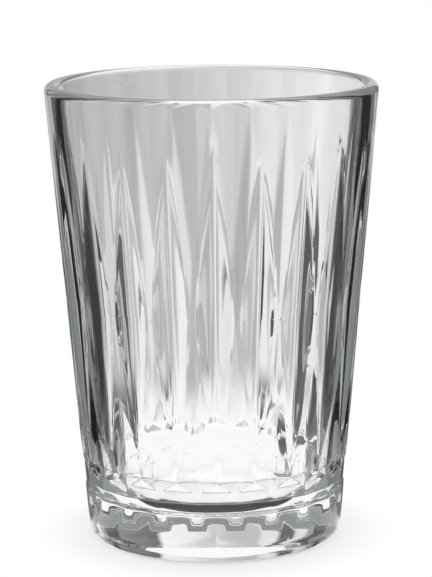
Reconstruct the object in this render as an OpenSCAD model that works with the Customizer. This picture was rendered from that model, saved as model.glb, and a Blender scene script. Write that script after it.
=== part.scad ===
// Juice glass: one piece of clear pressed glass with rows of V cuts round a tapering body.
// Millimetres, +Z up, origin at the middle of the foot. A tall cut faces -Y.

/* [Body] */
// Height from the foot to the top of the rim
glass_h = 95; // [80:1:120]
// Diameter of the outer cone at the height of the rim's top
rim_d = 68.8; // [64:0.1:76]
// Diameter of the outer cone where it would meet the table
foot_d = 52.7; // [48:0.1:58]
// Thickness of the wall where it meets the floor of the cup
wall_t = 3.7; // [3.3:0.1:4.5]
// Height of the floor of the cup above the table
floor_h = 9; // [8:0.5:13]

/* [Rim, heel and foot] */
// Radius of the full round on the rim
lip_r = 1.5; // [1.2:0.05:1.7]
// Radius of the heel, where the side turns under
heel_r = 2.4; // [1.5:0.1:3]
// Radius of the fillet between the floor and the wall of the cup
floor_fillet_r = 7; // [3:0.5:8]
// Width of the ring under the foot that the glass stands on
ring_w = 3.5; // [2:0.5:6]
// Depth of the dome under the foot
dome_h = 1.3; // [0.6:0.1:2.5]

/* [Tall cuts] */
// Number of tall cuts round the glass, an even number
cut_count = 22; // [16:2:28]
// Height of the upper point of a tall cut
tall_top_z = 86.6; // [80:0.2:90]
// Height where a tall cut is widest and deepest
tall_mid_z = 51; // [45:0.5:60]
// Height of the lower point of a tall cut
tall_low_z = 17.4; // [16:0.2:30]
// Half the width of a tall cut at its widest
tall_half_w = 3.6; // [2.5:0.1:4]
// Depth of a tall cut at its deepest
tall_depth = 0.9; // [0.7:0.05:1.3]

/* [Long spear cuts, at every second gap] */
// Height of the upper point of a long spear
long_top_z = 34.2; // [30:0.2:42]
// Height where a long spear is widest
long_mid_z = 17.4; // [14:0.2:19]
// Height of the lower end of a long spear
long_low_z = 13.4; // [12:0.2:15]
// Half the width that the sides of a long spear spread to
long_half_w = 4.05; // [2.5:0.05:4.5]
// Depth of a long spear at its deepest
long_depth = 0.8; // [0.6:0.05:1.2]

/* [Short spear cuts, at the gaps between] */
// Height of the upper point of a short spear
short_top_z = 25.2; // [22:0.2:34]
// Height where a short spear is widest
short_mid_z = 17.4; // [14:0.2:19]
// Height of the lower end of a short spear
short_low_z = 13.4; // [12:0.2:15]
// Half the width that the sides of a short spear spread to
short_half_w = 4.05; // [2.5:0.05:4.5]
// Depth of a short spear at its deepest
short_depth = 0.7; // [0.6:0.05:1.2]

/* [Band of wide flutes, below the tall cuts] */
// Height of the upper point of a band flute
band_top_z = 17.4; // [16.4:0.2:18]
// Height where a band flute reaches its full depth from above
band_high_z = 15.5; // [14:0.5:16]
// Height where a band flute starts to run out below
band_deep_z = 10.8; // [10.6:0.2:12]
// Height of the lower end of a band flute, where the foot's tongues start
band_low_z = 10; // [9:0.2:10.4]
// Half the width that the sides of a band flute spread to
band_half_w = 4.6; // [4:0.1:5]
// Depth of a band flute
band_depth = 0.6; // [0.5:0.05:0.9]

/* [Foot cuts, between the tongues] */
// Height where a foot cut is widest
foot_mid_z = 10.3; // [9.5:0.1:10.6]
// Height of the lower point of a foot cut
foot_low_z = 5.6; // [5:0.1:7]
// Half the width that the sides of a foot cut spread to
foot_half_w = 3; // [2.4:0.1:3.6]
// Depth of a foot cut at its deepest
foot_depth = 0.45; // [0.3:0.05:0.7]
// Height where the notch at the end of a foot cut is deepest
notch_mid_z = 8.3; // [7.5:0.1:9]
// Height of the lower point of a notch
notch_low_z = 3.7; // [3:0.1:5]
// Half the width that the sides of a notch spread to
notch_half_w = 1.6; // [1.2:0.1:2]
// Depth of a notch at its deepest
notch_depth = 0.26; // [0.2:0.02:0.36]

/* [Hidden] */
$fn = 180;
// Overrun by which a cutter passes the surface that it cuts
over = 2;
// Height of a groove's cutter above the bottom of the groove
reach = foot_d / 2;
pitch = 360 / cut_count;
taper = (rim_d - foot_d) / 2 / glass_h;
lean = atan(taper);

function cone_r(z) = foot_d / 2 + z * taper;
// How far a round surface of radius r falls back at a distance w from its middle line
function sag(r, w) = r - sqrt(r * r - w * w);

// Centre of a circle of radius r that touches the outer cone from inside at height z
function inside_cone(r, z) = [cone_r(z) - r / cos(lean), z];

lip_at = inside_cone(lip_r, glass_h - lip_r);
heel_at = inside_cone(heel_r, heel_r);
cup_foot_r = cone_r(floor_h) - wall_t;
// The cup's wall runs from its foot to touch the inner side of the lip's round
cup_run = [lip_at[0] - cup_foot_r, lip_at[1] - floor_h];
cup_lean = atan(cup_run[0] / cup_run[1]) - asin(lip_r / norm(cup_run));
fillet_at = [
    cup_foot_r + floor_fillet_r * tan(cup_lean) - floor_fillet_r / cos(cup_lean),
    floor_h + floor_fillet_r
];
dome_rim_r = heel_at[0] - ring_w;
dome_r = (dome_rim_r * dome_rim_r + dome_h * dome_h) / 2 / dome_h;

module outside() {
    polygon([
        [0, 0],
        [heel_at[0], 0],
        heel_at + heel_r * [cos(lean), -sin(lean)],
        lip_at + lip_r * [cos(lean), -sin(lean)],
        lip_at + lip_r * [-cos(cup_lean), sin(cup_lean)],
        [0, lip_at[1]]
    ]);
    translate(heel_at) circle(heel_r);
}

module cup() {
    polygon([
        [0, floor_h],
        [fillet_at[0], floor_h],
        fillet_at + floor_fillet_r * [cos(cup_lean), -sin(cup_lean)],
        [cup_foot_r + (glass_h + over - floor_h) * tan(cup_lean), glass_h + over],
        [0, glass_h + over]
    ]);
    translate(fillet_at) circle(floor_fillet_r);
}

module half_plane() {
    translate([0, -over]) square([rim_d, glass_h + 2 * over]);
}

module blank() {
    rotate_extrude() intersection() {
        union() {
            difference() {
                outside();
                cup();
                translate([0, dome_h - dome_r]) circle(dome_r);
            }
            translate(lip_at) circle(lip_r);
        }
        half_plane();
    }
}

// A point depth inside the outer cone, as a radius and a height
function side_at(z, depth = 0) = [cone_r(z) - depth, z];
// Lean of the straight line from one such point up to another
function tilt(low, high) = atan((high - low)[0] / (high - low)[1]);
// How far the sides of a groove spread per unit of depth
function spread(z, half_w, depth) = half_w / (depth - sag(cone_r(z), half_w));

// A V groove through a point of the side, with a bottom edge that leans by slant
module groove(at, slant, sides) {
    translate([at[0], 0, at[1]])
        rotate([0, slant, 0])
            linear_extrude(2 * glass_h, center = true)
                polygon([[0, 0], [reach, -reach * sides], [reach, reach * sides]]);
}

// One cut: two grooves that meet at its deepest point and run out at its two ends
module cut(top_z, mid_z, low_z, half_w, depth) {
    deepest = side_at(mid_z, depth);
    sides = spread(mid_z, half_w, depth);
    intersection() {
        groove(deepest, tilt(deepest, side_at(top_z)), sides);
        groove(deepest, tilt(side_at(low_z), deepest), sides);
    }
}

// One band flute: it keeps its depth between two heights and runs out above and below them
module band_flute() {
    high = side_at(band_high_z, band_depth);
    deep = side_at(band_deep_z, band_depth);
    sides = spread(band_deep_z, band_half_w, band_depth);
    intersection() {
        groove(high, tilt(high, side_at(band_top_z)), sides);
        groove(deep, tilt(deep, high), sides);
        groove(deep, tilt(side_at(band_low_z), deep), sides);
    }
}

// Places a cut at every step-th pitch, starting first pitches round from the one that faces -Y
module round_glass(first, step) {
    for (i = [0 : step : cut_count - 1])
        rotate([0, 0, (i + first) * pitch - 90])
            children();
}

module tumbler() {
    color("#dfe8e4")
    difference() {
        blank();
        round_glass(0, 1) {
            cut(tall_top_z, tall_mid_z, tall_low_z, tall_half_w, tall_depth);
            band_flute();
            cut(band_top_z, foot_mid_z, foot_low_z, foot_half_w, foot_depth);
            cut(foot_mid_z, notch_mid_z, notch_low_z, notch_half_w, notch_depth);
        }
        round_glass(1.5, 2)
            cut(long_top_z, long_mid_z, long_low_z, long_half_w, long_depth);
        round_glass(0.5, 2)
            cut(short_top_z, short_mid_z, short_low_z, short_half_w, short_depth);
    }
}

tumbler();
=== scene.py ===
# %% [markdown]
# # A juice glass of clear pressed glass
# The real glass is pressed in one shot in a mould. It has a round lip, a tapering body and a thick solid
# base. Its pattern is tall V cuts on the body, two lengths of spear between their lower ends, a band of wide
# shallow flutes below them, and a foot whose tongues are parted by short cuts that end in narrow notches.
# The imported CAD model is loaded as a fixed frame, in metres, +Z up.

# %% Load the frame
import math

import bmesh
import bpy
from mathutils import Matrix, Vector


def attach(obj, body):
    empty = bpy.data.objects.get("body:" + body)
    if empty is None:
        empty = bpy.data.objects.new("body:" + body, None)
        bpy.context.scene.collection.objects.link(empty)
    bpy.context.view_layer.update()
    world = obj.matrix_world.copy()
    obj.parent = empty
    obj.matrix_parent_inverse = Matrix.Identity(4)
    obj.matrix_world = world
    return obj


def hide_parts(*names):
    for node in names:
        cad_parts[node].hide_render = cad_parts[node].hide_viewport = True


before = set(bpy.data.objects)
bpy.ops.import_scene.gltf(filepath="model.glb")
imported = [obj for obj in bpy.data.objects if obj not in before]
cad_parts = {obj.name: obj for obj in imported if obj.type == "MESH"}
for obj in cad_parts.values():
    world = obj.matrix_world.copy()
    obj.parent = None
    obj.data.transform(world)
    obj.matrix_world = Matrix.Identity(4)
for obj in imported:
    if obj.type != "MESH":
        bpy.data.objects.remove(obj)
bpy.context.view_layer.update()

# %% [markdown]
# ## The sizes of the glass
# The profile of a pressed glass follows from its height, the widths of its outer cone at the rim's top and
# at the table, and the sizes of its wall, floor, lip, heel, ring and dome. They are written once, in
# millimetres.

# %% Sizes
MM = 0.001
GLASS_H = 95.0
RIM_D = 68.8
FOOT_D = 52.7
WALL_T = 3.7
FLOOR_H = 9.0
LIP_R = 1.5
HEEL_R = 2.4
FLOOR_FILLET_R = 7.0
RING_W = 3.5
DOME_H = 1.3
CUT_COUNT = 22
TAPER = (RIM_D - FOOT_D) / 2 / GLASS_H
LEAN = math.atan(TAPER)
HALF_PITCH = math.pi / CUT_COUNT


def cone_r(z):
    return FOOT_D / 2 + z * TAPER


print("a pitch at the rim is", round(2 * HALF_PITCH * cone_r(GLASS_H), 2), "mm wide")

# %% [markdown]
# ## One V cut
# On the real glass each cut is a groove with two flat sides. It starts at a point, gets deeper and wider, and
# runs out at a second point, like the cuts that a wheel makes in cut glass, which pressed glass copies. So a
# cut is the overlap of tilted V grooves, one for each straight stretch of its bottom, and its surface at a
# given height and angle can be worked out exactly.


# %% The cut's rule
class Cut:
    """A V cut given by the heights and depths along its bottom, from its upper point to its lower point.

    Its sides spread to half_w where it is deepest. Angles are from the cut's own middle line."""

    def __init__(self, half_w, *bottom):
        self.heights = [z for z, _ in bottom]
        deep_z, depth = max(bottom[::-1], key=lambda place: place[1])
        sag = cone_r(deep_z) - math.sqrt(cone_r(deep_z) ** 2 - half_w**2)
        spread = half_w / (depth - sag)
        self.grooves = []
        for (high_z, high_depth), (low_z, low_depth) in zip(bottom, bottom[1:]):
            low_r = cone_r(low_z) - low_depth
            slope = (cone_r(high_z) - high_depth - low_r) / (high_z - low_z)
            self.grooves.append((low_r, low_z, slope, math.sqrt(1 + slope**2) / spread))

    def surface(self, angle, z):
        """Radius of the cut's surface, or of the outer cone where that is smaller."""
        turn = abs(angle)
        deepest = 0.0
        for low_r, low_z, slope, steepness in self.grooves:
            fall = math.cos(turn) - steepness * math.sin(turn)
            reach = low_r + (z - low_z) * slope
            deepest = max(deepest, reach / fall if fall > 0 else math.inf)
        return min(deepest, cone_r(z))

    def edge(self, z):
        """Angle from the middle line to where the cut meets the outer cone, 0 where there is no cut."""
        angles = []
        for low_r, low_z, slope, steepness in self.grooves:
            share = (low_r + (z - low_z) * slope) / cone_r(z)
            if share >= 1:
                return 0.0
            angles.append(math.acos(share / math.hypot(1, steepness)) - math.atan(steepness))
        return min(angles)

    def beyond(self, z):
        """How far z is past the cut's nearer point, 0 between its points."""
        return max(z - self.heights[0], self.heights[-1] - z, 0.0)


class CutStack:
    """Cuts that share a middle line. The deepest one shows."""

    def __init__(self, *cuts):
        self.cuts = cuts
        self.heights = [z for cut in cuts for z in cut.heights]

    def surface(self, angle, z):
        return min(cut.surface(angle, z) for cut in self.cuts)

    def edge(self, z):
        return max(cut.edge(z) for cut in self.cuts)

    def beyond(self, z):
        return min(cut.beyond(z) for cut in self.cuts)


# %% [markdown]
# ## The cuts of this glass
# The tall cuts, the band's flutes, the foot cuts and their notches share a middle line. A spear lies between
# each two, long and short by turns. Heights are above the table, in millimetres, and a half width is what the
# sides of a cut spread to at its deepest place.

# %% Sizes of the cuts
TALL_TOP_Z = 86.6
TALL_MID_Z = 51.0
TALL_HALF_W = 3.6
TALL_DEPTH = 0.9
LONG_TOP_Z = 34.2
LONG_DEPTH = 0.8
SHORT_TOP_Z = 25.2
SHORT_DEPTH = 0.7
SPEAR_LOW_Z = 13.4
SPEAR_HALF_W = 4.05
BAND_TOP_Z = 17.4
BAND_HIGH_Z = 15.5
BAND_DEEP_Z = 10.8
BAND_LOW_Z = 10.0
BAND_HALF_W = 4.6
BAND_DEPTH = 0.6
FOOT_MID_Z = 10.3
FOOT_LOW_Z = 5.6
FOOT_HALF_W = 3.0
FOOT_DEPTH = 0.45
NOTCH_MID_Z = 8.3
NOTCH_LOW_Z = 3.7
NOTCH_HALF_W = 1.6
NOTCH_DEPTH = 0.26

# %% Make the cuts
band_bottom = (BAND_TOP_Z, 0.0), (BAND_HIGH_Z, BAND_DEPTH), (BAND_DEEP_Z, BAND_DEPTH), (BAND_LOW_Z, 0.0)
tall = Cut(TALL_HALF_W, (TALL_TOP_Z, 0.0), (TALL_MID_Z, TALL_DEPTH), (BAND_TOP_Z, 0.0))
band_flute = Cut(BAND_HALF_W, *band_bottom)
foot_cut = Cut(FOOT_HALF_W, (BAND_TOP_Z, 0.0), (FOOT_MID_Z, FOOT_DEPTH), (FOOT_LOW_Z, 0.0))
notch = Cut(NOTCH_HALF_W, (FOOT_MID_Z, 0.0), (NOTCH_MID_Z, NOTCH_DEPTH), (NOTCH_LOW_Z, 0.0))
middle_cuts = CutStack(tall, band_flute, foot_cut, notch)
long_spear = Cut(SPEAR_HALF_W, (LONG_TOP_Z, 0.0), (BAND_TOP_Z, LONG_DEPTH), (SPEAR_LOW_Z, 0.0))
short_spear = Cut(SPEAR_HALF_W, (SHORT_TOP_Z, 0.0), (BAND_TOP_Z, SHORT_DEPTH), (SPEAR_LOW_Z, 0.0))
print("a tall cut's half width at its middle is", round(tall.edge(TALL_MID_Z) * cone_r(TALL_MID_Z), 2), "mm")

# %% [markdown]
# ## Columns that follow the edges
# The look of cut glass comes from its edges, so the mesh has a line of points along each edge. Half a pitch
# has three strips: the near half of the tall or foot cut, the plain glass, and the near half of a spear.
# Where two cuts run into each other, the plain strip closes to a hair's width on the edge that they share.
# Fire polishing melts the edges a little. The radius at each point is therefore the mean of the sharp radius
# there and just to both sides, and the strips have points where that rounding starts and ends.

# %% Columns
HAIR_W = 0.1
SPREAD_RUN = 5.0
POLISH_W = 0.45
POLISH_SHARE = 0.42
HALVINGS = 40


def meeting(middle, side, z):
    """Angle where the surfaces of two neighbouring cuts cross, by halving."""
    low, high = 0.0, HALF_PITCH
    for _ in range(HALVINGS):
        half = (low + high) / 2
        if middle.surface(half, z) < side.surface(HALF_PITCH - half, z):
            low = half
        else:
            high = half
    return low


def strip_borders(middle, side, z):
    """The two angles that part half a pitch into its three strips."""
    hair = HAIR_W / cone_r(z)
    first, second = middle.edge(z), HALF_PITCH - side.edge(z)
    if first > second:
        first = meeting(middle, side, z) - hair / 2
        second = first + hair
    rest = HALF_PITCH / 3
    first = max(first, hair + (rest - hair) * min(middle.beyond(z) / SPREAD_RUN, 1.0))
    second = min(second, HALF_PITCH - hair - (rest - hair) * min(side.beyond(z) / SPREAD_RUN, 1.0))
    if second - first < hair:
        least = hair + hair / 2
        centre = min(max((first + second) / 2, least), HALF_PITCH - least)
        first, second = centre - hair / 2, centre + hair / 2
    return first, second


def sharp_radius(side, angle, z):
    """Radius of the glass before polishing, also a little beyond the two ends of the half pitch."""
    angle = HALF_PITCH - abs(HALF_PITCH - abs(angle))
    return min(middle_cuts.surface(angle, z), side.surface(HALF_PITCH - angle, z))


def polished_radius(side, angle, z):
    step = POLISH_W / cone_r(z)
    return sum(sharp_radius(side, angle + shift, z) for shift in (-step, 0.0, step)) / 3


def half_pitch_columns(side, z):
    """Angles of the columns over half a pitch, and the outer surface's radius at each."""
    first, second = strip_borders(middle_cuts, side, z)
    columns = []
    for start, end in ((0.0, first), (first, second), (second, HALF_PITCH)):
        step = min(POLISH_W / cone_r(z), POLISH_SHARE * (end - start))
        columns += [start, start + step, (start + end) / 2, end - step]
    columns.append(HALF_PITCH)
    return [(a, polished_radius(side, a, z)) for a in columns]


def sector_columns(z):
    """Two pitches, from the middle of one long spear to the next, with a short spear between."""
    low_half = half_pitch_columns(long_spear, z)
    high_half = half_pitch_columns(short_spear, z)
    pitch = [(-a, r) for a, r in reversed(low_half)] + high_half[1:]
    mirrored = [(2 * HALF_PITCH - a, r) for a, r in reversed(pitch)]
    return pitch + mirrored[1:]


print("columns over two pitches:", len(sector_columns(GLASS_H / 2)))

# %% [markdown]
# ## Rows from the foot to the lip and down inside
# The profile is drawn once round: the dome under the foot, the flat ring, the heel's arc, the cut side, the
# full round of the lip, the cup's wall, the fillet and the floor. Only the cut side's radius changes from
# column to column. All other rows are plain circles, so they take their angles from the nearest cut row.

# %% Arcs of the profile
HEEL_STEPS = 8
LIP_STEPS = 14
FILLET_STEPS = 10
DOME_STEPS = 8
WALL_STEPS = 12
FLOOR_SHARES = (0.66, 0.33)


def inside_cone(radius, z):
    """Centre of an arc that touches the outer cone from inside at height z."""
    return cone_r(z) - radius / math.cos(LEAN), z


def arc(centre, radius, start, end, steps):
    """Points on an arc, with angles in radians from straight out, positive upwards."""
    turns = [start + (end - start) * i / steps for i in range(steps + 1)]
    return [(centre[0] + radius * math.cos(t), centre[1] + radius * math.sin(t)) for t in turns]


lip_at = inside_cone(LIP_R, GLASS_H - LIP_R)
heel_at = inside_cone(HEEL_R, HEEL_R)
cup_foot_r = cone_r(FLOOR_H) - WALL_T
cup_run = (lip_at[0] - cup_foot_r, lip_at[1] - FLOOR_H)
cup_lean = math.atan(cup_run[0] / cup_run[1]) - math.asin(LIP_R / math.hypot(*cup_run))
fillet_at = (
    cup_foot_r + FLOOR_FILLET_R * (math.tan(cup_lean) - 1 / math.cos(cup_lean)),
    FLOOR_H + FLOOR_FILLET_R,
)
dome_rim_r = heel_at[0] - RING_W
dome_r = (dome_rim_r**2 + DOME_H**2) / 2 / DOME_H
dome_turn = math.asin(dome_rim_r / dome_r)
quarter = math.pi / 2
print("the cup's floor is", round(2 * fillet_at[0], 1), "mm wide before its fillet")

# %% Rows
ROW_STEP = 1.8
FOOT_ROW_STEP = 0.8
CREASE_GAP = 0.4


def cut_heights():
    """Heights of the cut side's rows.

    There is one at each point and widest place of a cut, one close to each side of it, and even rows
    between."""
    keys = {heel_at[1] - HEEL_R * math.sin(LEAN), lip_at[1] - LIP_R * math.sin(LEAN)}
    for cut in (middle_cuts, long_spear, short_spear):
        keys |= {z + step for z in cut.heights for step in (-CREASE_GAP, 0.0, CREASE_GAP)}
    heights = []
    ordered = sorted(keys)
    for low, high in zip(ordered, ordered[1:]):
        steps = max(1, math.ceil((high - low) / (ROW_STEP if low >= BAND_TOP_Z else FOOT_ROW_STEP)))
        heights += [low + (high - low) * i / steps for i in range(steps)]
    return heights + [ordered[-1]]


side_heights = cut_heights()
dome_start = quarter - dome_turn / DOME_STEPS
dome_arc = arc((0.0, DOME_H - dome_r), dome_r, dome_start, quarter - dome_turn, DOME_STEPS - 1)
heel_arc = arc(heel_at, HEEL_R, -quarter, -LEAN, HEEL_STEPS)
lip_arc = arc(lip_at, LIP_R, -LEAN, math.pi - cup_lean, LIP_STEPS)
fillet_arc = arc(fillet_at, FLOOR_FILLET_R, -cup_lean, -quarter, FILLET_STEPS)
floor_run = [(fillet_at[0] * share, FLOOR_H) for share in FLOOR_SHARES]
foot_rows = [(p, side_heights[0]) for p in dome_arc + heel_arc[:-1]]
side_rows = [(None, z) for z in side_heights]
lip_top = lip_arc[1:]
wall_top, wall_foot = lip_arc[-1], fillet_arc[0]
wall_run = [
    tuple(a + (b - a) * i / WALL_STEPS for a, b in zip(wall_top, wall_foot)) for i in range(1, WALL_STEPS)
]
inner_rows = [(p, side_heights[-1]) for p in lip_top + wall_run + fillet_arc + floor_run]
rows = foot_rows + side_rows + inner_rows
print("rows:", len(rows))

# %% [markdown]
# ## The sector
# Two pitches of the glass are made as one open mesh, with a single point at the middle of the dome and one
# at the middle of the floor.


# %% Make the sector
def sector_mesh(name):
    mesh = bmesh.new()
    rings = []
    for point, z in rows:
        ring = []
        for angle, radius in sector_columns(z):
            r, height = (radius, z) if point is None else point
            ring.append(mesh.verts.new((r * math.sin(angle) * MM, -r * math.cos(angle) * MM, height * MM)))
        rings.append(ring)
    for below, above in zip(rings, rings[1:]):
        for i in range(len(below) - 1):
            mesh.faces.new((below[i], below[i + 1], above[i + 1], above[i]))
    for height, ring in ((DOME_H, rings[0]), (FLOOR_H, rings[-1])):
        pole = mesh.verts.new((0, 0, height * MM))
        for i in range(len(ring) - 1):
            mesh.faces.new((pole, ring[i + 1], ring[i]) if height == DOME_H else (pole, ring[i], ring[i + 1]))
    data = bpy.data.meshes.new(name)
    mesh.to_mesh(data)
    mesh.free()
    return data


glass = bpy.data.objects.new("glass_body", sector_mesh("glass_sector"))
bpy.context.scene.collection.objects.link(glass)
print("sector faces:", len(glass.data.polygons))

# %% [markdown]
# ## Shader helper
# A small class wraps a socket, so that shader maths can be written as an expression.


# %% Shader helper
class Sock:
    """A node's output in a tree, with the maths that the materials below use."""

    def __init__(self, tree, socket):
        self.tree, self.socket = tree, socket

    def _maths(self, operation, *values):
        node = self.tree.nodes.new("ShaderNodeMath")
        node.operation = operation
        for entry, value in zip(node.inputs, values):
            if isinstance(value, Sock):
                self.tree.links.new(value.socket, entry)
            else:
                entry.default_value = value
        return Sock(self.tree, node.outputs[0])

    def __add__(self, other):
        return self._maths("ADD", self, other)

    def __sub__(self, other):
        return self._maths("SUBTRACT", self, other)

    def __rsub__(self, other):
        return self._maths("SUBTRACT", other, self)

    def __mul__(self, other):
        return self._maths("MULTIPLY", self, other)

    def __truediv__(self, other):
        return self._maths("DIVIDE", self, other)

    def most(self, other):
        return self._maths("MAXIMUM", self, other)

    def root(self):
        return self._maths("SQRT", self)

    def over(self, limit):
        return self._maths("GREATER_THAN", self, limit)

    def wrapped(self, high, low):
        return self._maths("WRAP", self, high, low)

    def turned_from(self, other):
        """Angle in degrees of the direction (self, other), from the second."""
        return self._maths("ARCTAN2", self, other) * math.degrees(1)

    def lifted(self):
        """Angle in degrees whose sine this is."""
        return self._maths("ARCSINE", self) * math.degrees(1)

    __radd__, __rmul__ = __add__, __mul__


class Tree:
    """A node tree with one method that adds any node."""

    def __init__(self, owner):
        owner.use_nodes = True
        self.tree = owner.node_tree
        self.tree.nodes.clear()

    def add(self, kind, settings=None, **sockets):
        node = self.tree.nodes.new(kind)
        for name, value in (settings or {}).items():
            if name == "stops":
                self._stops(node.color_ramp, value)
            else:
                setattr(node, name, value)
        for name, value in sockets.items():
            entry = node.inputs[name.replace("_", " ")]
            if isinstance(value, Sock):
                self.tree.links.new(value.socket, entry)
            else:
                entry.default_value = value
        return node

    def _stops(self, ramp, stops):
        """Sets a colour ramp's stops. A new ramp has two, so only the later ones are made."""
        for i, (place, colour) in enumerate(stops):
            stop = ramp.elements[i] if i < 2 else ramp.elements.new(place)
            stop.position, stop.color = place, (*colour, 1)

    def out(self, node, name=0):
        return Sock(self.tree, node.outputs[name])


# %% [markdown]
# ## The glass's finish, and a painted glow where light is caught
# Clear soda-lime glass with the faintest green, polished all over. Pressed glass is never quite flat: the
# mould leaves a slow waviness, which a very low bump gives. Some light is caught in the wall and reflects on
# and on. The renderer stops following it after a few reflections and would leave those places black, so a
# path that has come that far takes a plain grey instead. The grey's level was chosen.

# %% Glass material
GLASS_COLOUR = (0.975, 0.988, 0.98, 1)
GLASS_IOR = 1.52
WAVES_PER_METRE = 90.0
WAVE_DETAIL = 1.0
WAVE_STRENGTH = 0.02
WAVE_HEIGHT = 0.4 * MM
CAUGHT_REFLECTIONS = 3.5
CAUGHT_STEPS = 10.5
CAUGHT_GLOW_GREY = (0.24, 0.26, 0.25, 1)
glass_finish = bpy.data.materials.new("clear_pressed_glass")
tree = Tree(glass_finish)
place = tree.out(tree.add("ShaderNodeTexCoord"), "Object")
noise = tree.add("ShaderNodeTexNoise", Vector=place, Scale=WAVES_PER_METRE, Detail=WAVE_DETAIL)
waves = tree.out(noise)
bump = tree.out(tree.add("ShaderNodeBump", Strength=WAVE_STRENGTH, Distance=WAVE_HEIGHT, Height=waves))
body = tree.add(
    "ShaderNodeBsdfPrincipled",
    Base_Color=GLASS_COLOUR,
    Roughness=0.0,
    IOR=GLASS_IOR,
    Transmission_Weight=1.0,
    Normal=bump,
)
path = tree.add("ShaderNodeLightPath")
reflected_on = tree.out(path, "Glossy Depth").over(CAUGHT_REFLECTIONS)
caught = reflected_on.most(tree.out(path, "Ray Depth").over(CAUGHT_STEPS))
# Painted light: paths caught deep in the glass glow a plain grey in place of the light that the renderer
# stops following
stand_in_glow = tree.add("ShaderNodeEmission", Color=CAUGHT_GLOW_GREY, Strength=1.0)
both = tree.add("ShaderNodeMixShader", Fac=caught)
tree.tree.links.new(body.outputs[0], both.inputs[1])
tree.tree.links.new(stand_in_glow.outputs[0], both.inputs[2])
tree.add("ShaderNodeOutputMaterial", Surface=tree.out(both))

# %% [markdown]
# ## Repeat the sector round the axis
# The pattern repeats eleven times round the glass, so Geometry Nodes places the sector on eleven points at
# the axis, each turned by its share of a full turn, and merges the seams into one closed skin.


# %% The tree that repeats the sector
SEAM_W = 0.001


def repeat_tree():
    tree = bpy.data.node_groups.new("repeat_round_axis", "GeometryNodeTree")
    kinds = {"Geometry": "NodeSocketGeometry", "Repeats": "NodeSocketInt", "Seam": "NodeSocketFloat"}
    for name, kind in kinds.items():
        tree.interface.new_socket(name, in_out="INPUT", socket_type=kind)
    tree.interface.new_socket("Geometry", in_out="OUTPUT", socket_type="NodeSocketGeometry")

    def add(kind, settings=None, **sockets):
        node = tree.nodes.new(kind)
        for name, value in (settings or {}).items():
            setattr(node, name, value)
        for name, value in sockets.items():
            entry = node.inputs[name.replace("_", " ")]
            if isinstance(value, bpy.types.NodeSocket):
                tree.links.new(value, entry)
            else:
                entry.default_value = value
        return node

    given = add("NodeGroupInput")
    points = add("GeometryNodePoints", Count=given.outputs["Repeats"], Radius=1.0)
    index = add("GeometryNodeInputIndex")
    turn = add("ShaderNodeMath", {"operation": "DIVIDE"})
    tree.links.new(index.outputs[0], turn.inputs[0])
    tree.links.new(given.outputs["Repeats"], turn.inputs[1])
    angle = add("ShaderNodeMath", {"operation": "MULTIPLY"})
    tree.links.new(turn.outputs[0], angle.inputs[0])
    angle.inputs[1].default_value = math.tau
    about_z = add("ShaderNodeCombineXYZ", Z=angle.outputs[0])
    turned = add("FunctionNodeEulerToRotation", Euler=about_z.outputs[0])
    placed = add(
        "GeometryNodeInstanceOnPoints",
        Points=points.outputs[0],
        Instance=given.outputs["Geometry"],
        Rotation=turned.outputs[0],
    )
    solid = add("GeometryNodeRealizeInstances", Geometry=placed.outputs[0])
    merged = add("GeometryNodeMergeByDistance", Geometry=solid.outputs[0], Distance=given.outputs["Seam"])
    smooth = add("GeometryNodeSetShadeSmooth", Geometry=merged.outputs[0])
    painted = add("GeometryNodeSetMaterial", Geometry=smooth.outputs[0], Material=glass_finish)
    add("NodeGroupOutput", Geometry=painted.outputs[0])
    return tree


def set_input(modifier, name, value):
    entries = modifier.node_group.interface.items_tree
    found = [e for e in entries if e.item_type == "SOCKET" and e.in_out == "INPUT" and e.name == name]
    modifier[found[0].identifier] = value


# %% Repeat, and keep the result as a plain mesh
repeat = glass.modifiers.new("repeat", "NODES")
repeat.node_group = repeat_tree()
# The normals follow the larger faces, so that the sides of the cuts look flat
even_flats = glass.modifiers.new("even_flats", "WEIGHTED_NORMAL")
even_flats.mode = "FACE_AREA"
set_input(repeat, "Repeats", CUT_COUNT // 2)
set_input(repeat, "Seam", SEAM_W * MM)
sector = glass.data
evaluated = glass.evaluated_get(bpy.context.evaluated_depsgraph_get())
glass.data = bpy.data.meshes.new_from_object(evaluated)
glass.modifiers.clear()
bpy.data.meshes.remove(sector)
skin = bmesh.new()
skin.from_mesh(glass.data)
open_edges = sum(1 for edge in skin.edges if len(edge.link_faces) != 2)
volume = skin.calc_volume(signed=True)
skin.free()
glass.data.name = "glass_body"
triangles = sum(len(face.vertices) - 2 for face in glass.data.polygons)
print("triangles", triangles, "open edges", open_edges, "volume ml", round(volume * 1e6, 2))

# %% [markdown]
# ## Camera
# The photograph looks down on the glass by about eleven degrees, from about half a metre away. The distance
# is the least certain of these values.

# %% Camera
CAMERA_DISTANCE = 0.4955
CAMERA_HEIGHT = 0.1495
CAMERA_PITCH = 11.16
CAMERA_SIDE = -0.5
CAMERA_ROLL = -0.48
SENSOR_W = 36.0
PHOTO_H = 577
FOCAL_PIXELS = 2426.9
SHIFT_PIXELS = 2.74

camera_data = bpy.data.cameras.new("camera")
camera_data.sensor_width = SENSOR_W
camera_data.lens = FOCAL_PIXELS / PHOTO_H * SENSOR_W
camera_data.shift_x = SHIFT_PIXELS / PHOTO_H
camera = bpy.data.objects.new("camera", camera_data)
bpy.context.scene.collection.objects.link(camera)
bpy.context.scene.camera = camera
side = math.radians(CAMERA_SIDE)
stand = Vector((CAMERA_DISTANCE * math.sin(side), -CAMERA_DISTANCE * math.cos(side), CAMERA_HEIGHT))
aim = (
    Matrix.Rotation(side, 4, "Z")
    @ Matrix.Rotation(math.radians(90 - CAMERA_PITCH), 4, "X")
    @ Matrix.Rotation(math.radians(CAMERA_ROLL), 4, "Z")
)
camera.matrix_world = Matrix.Translation(stand) @ aim
print("lens", round(camera_data.lens, 1), "mm")
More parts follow.
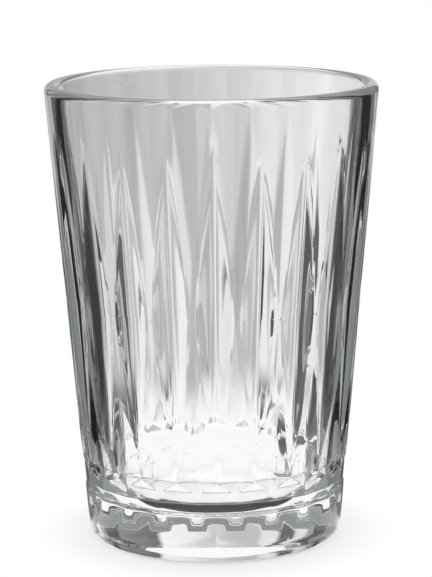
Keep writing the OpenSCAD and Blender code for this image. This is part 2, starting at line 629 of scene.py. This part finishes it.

# %% [markdown]
# ## The studio
# Clear glass shows what is behind and around it, so the light is the setting of a glass photographer: a lit
# pale panel behind the glass, darker cards beside it that draw its edges, light from above, and a white
# table. The camera itself sees plain white. The panels are part of the world, by direction. They come again
# at every quarter turn, and on the side of the photograph's camera at every eighth turn, so that the views
# from behind and from the sides have panels behind the glass too. Their bearings and greys were set
# against the photograph, so from steeper angles the dark parts can fill the glass.

# %% Helpers for the studio
QUARTER_HALF = 45.0
NARROW_BEYOND = 112.5
NARROWING = 1.5


def smooth_step(tree, value, start, end):
    """0 where value is before start, 1 past end, and a soft change between them."""
    low, high, swap = (start, end, False) if start < end else (end, start, True)
    sizes = {"From_Min": low, "From_Max": high, "To_Min": float(swap), "To_Max": float(not swap)}
    settings = {"interpolation_type": "SMOOTHSTEP"}
    return tree.out(tree.add("ShaderNodeMapRange", settings, Value=value, **sizes))


def panel(tree, bearing, stops):
    """A grey level by bearing in degrees from straight behind the glass.

    It is the same in every quarter turn, and comes narrower in every eighth turn on the camera's side."""
    past = bearing.most(0 - bearing).over(NARROW_BEYOND)
    wide = bearing.wrapped(QUARTER_HALF, -QUARTER_HALF)
    narrow = bearing.wrapped(QUARTER_HALF / 2, -QUARTER_HALF / 2) * NARROWING
    ramp = tree.add(
        "ShaderNodeValToRGB",
        {"stops": [((a + QUARTER_HALF) / 2 / QUARTER_HALF, (v, v, v)) for a, v in stops]},
        Fac=(wide * (1 - past) + narrow * past + QUARTER_HALF) / (2 * QUARTER_HALF),
    )
    return tree.out(ramp)


def axes_of(tree, coordinates):
    split = tree.add("ShaderNodeSeparateXYZ", Vector=tree.out(tree.add("ShaderNodeTexCoord"), coordinates))
    return [tree.out(split, axis) for axis in "XYZ"]


# %% World
# Each stop is a bearing in degrees and a grey. Below the horizon the low stops hold, above it the high ones.
LOW_STOPS = (
    (-45, 0.02), (-25, 0.02), (-23, 0.5), (-20, 0.72), (-15, 0.72), (-13, 0.5), (-4, 0.5), (0, 0.6),
    (3, 0.78), (6, 0.88), (16, 0.94), (18, 0.02), (45, 0.02),
)
HIGH_STOPS = (
    (-45, 0.02), (-40, 0.02), (-38, 0.3), (-35, 0.3), (-33, 0.74), (-28, 0.74), (-26, 0.1), (-21, 0.1),
    (-19, 0.78), (-14, 0.78), (-12, 0.52), (-4, 0.52), (0, 0.6), (3, 0.74), (7, 0.86), (17, 0.94),
    (19, 0.12), (38, 0.2), (40, 0.02), (45, 0.02),
)
LOW_TO_HIGH = (-2.0, 5.0)
HIGH_TO_TOP = (28.0, 42.0)
TOP_LIGHT = 1.1
world = bpy.data.worlds.new("studio")
bpy.context.scene.world = world
tree = Tree(world)
across, along, up = axes_of(tree, "Generated")
bearing = across.turned_from(along)
height = up.lifted()
raised = smooth_step(tree, height, *LOW_TO_HIGH)
overhead = smooth_step(tree, height, *HIGH_TO_TOP)
sides = panel(tree, bearing, LOW_STOPS) * (1 - raised) + panel(tree, bearing, HIGH_STOPS) * raised
level = sides * (1 - overhead) + overhead * TOP_LIGHT
to_camera = tree.out(tree.add("ShaderNodeLightPath"), "Is Camera Ray")
light = tree.add("ShaderNodeBackground", Color=level * (1 - to_camera) + to_camera, Strength=1.0)
tree.add("ShaderNodeOutputWorld", Surface=tree.out(light))

# %% [markdown]
# ## The table
# What the glass shows of the table is white and gives out its own light, with two dark cards to the left and
# right behind the middle of the foot, and a painted shadow of the base, a dark crescent under its front,
# which the thick base bends into the black band. Far out the table fades into the world's lower half. For the
# camera it is white, with a soft shadow at the foot. Each pair of places below is where a change starts and
# where it ends, in metres.

# %% Floor
TABLE_R = 0.15
TABLE_SIDES = 128
TABLE_DROP = 0.0001
CARDS_AND_SHADOW_DARK = 0.01
SHADOW = 0.28
SHADOW_REACH = 0.012
SHADOW_SAMPLES = 16
CARD_ASIDE = (0.027, 0.032)
CARD_BEHIND = (0.003, 0.007)
PAINTED_SHADOW_FRONT = (-0.0135, -0.0148)
PAINTED_SHADOW_ROUND = (0.03, 0.026)
FADE = (0.1, 0.145)
floor_mesh = bpy.data.meshes.new("table_top")
disc = bmesh.new()
bmesh.ops.create_circle(disc, cap_ends=True, segments=TABLE_SIDES, radius=TABLE_R)
bmesh.ops.translate(disc, verts=disc.verts, vec=(0, 0, -TABLE_DROP))
disc.to_mesh(floor_mesh)
disc.free()
table_top = bpy.data.objects.new("table_top", floor_mesh)
bpy.context.scene.collection.objects.link(table_top)
white = bpy.data.materials.new("white_table")
tree = Tree(white)
across, along, _ = axes_of(tree, "Object")
aside = across.most(0 - across)
out_from_axis = (across * across + along * along).root()
card = smooth_step(tree, aside, *CARD_ASIDE) * smooth_step(tree, along, *CARD_BEHIND)
# Painted shadow: a dark crescent on the table under the front of the foot, where the base would shade it
painted_front_shadow = smooth_step(tree, along, *PAINTED_SHADOW_FRONT) * smooth_step(tree, out_from_axis, *PAINTED_SHADOW_ROUND)
cards_and_painted_shadow = card.most(painted_front_shadow)
closeness = tree.add("ShaderNodeAmbientOcclusion", {"samples": SHADOW_SAMPLES}, Distance=SHADOW_REACH)
near = tree.out(closeness, "AO")
to_camera = tree.out(tree.add("ShaderNodeLightPath"), "Is Camera Ray")
seen = (1 - cards_and_painted_shadow * (1 - CARDS_AND_SHADOW_DARK)) * (1 - to_camera) + (1 - (1 - near) * SHADOW) * to_camera
glow = tree.add("ShaderNodeEmission", Color=seen, Strength=1.0)
clear = tree.add("ShaderNodeBsdfTransparent")
faded = tree.add("ShaderNodeMixShader", Fac=smooth_step(tree, out_from_axis, *FADE))
tree.tree.links.new(glow.outputs[0], faded.inputs[1])
tree.tree.links.new(clear.outputs[0], faded.inputs[2])
tree.add("ShaderNodeOutputMaterial", Surface=tree.out(faded))
floor_mesh.materials.append(white)

# %% [markdown]
# ## Hand the piece to the frame
# The made glass stands for the CAD node, which is hidden.

# %% Finish
bpy.context.scene.view_settings.view_transform = "Standard"
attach(glass, "root")
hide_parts("tumbler")
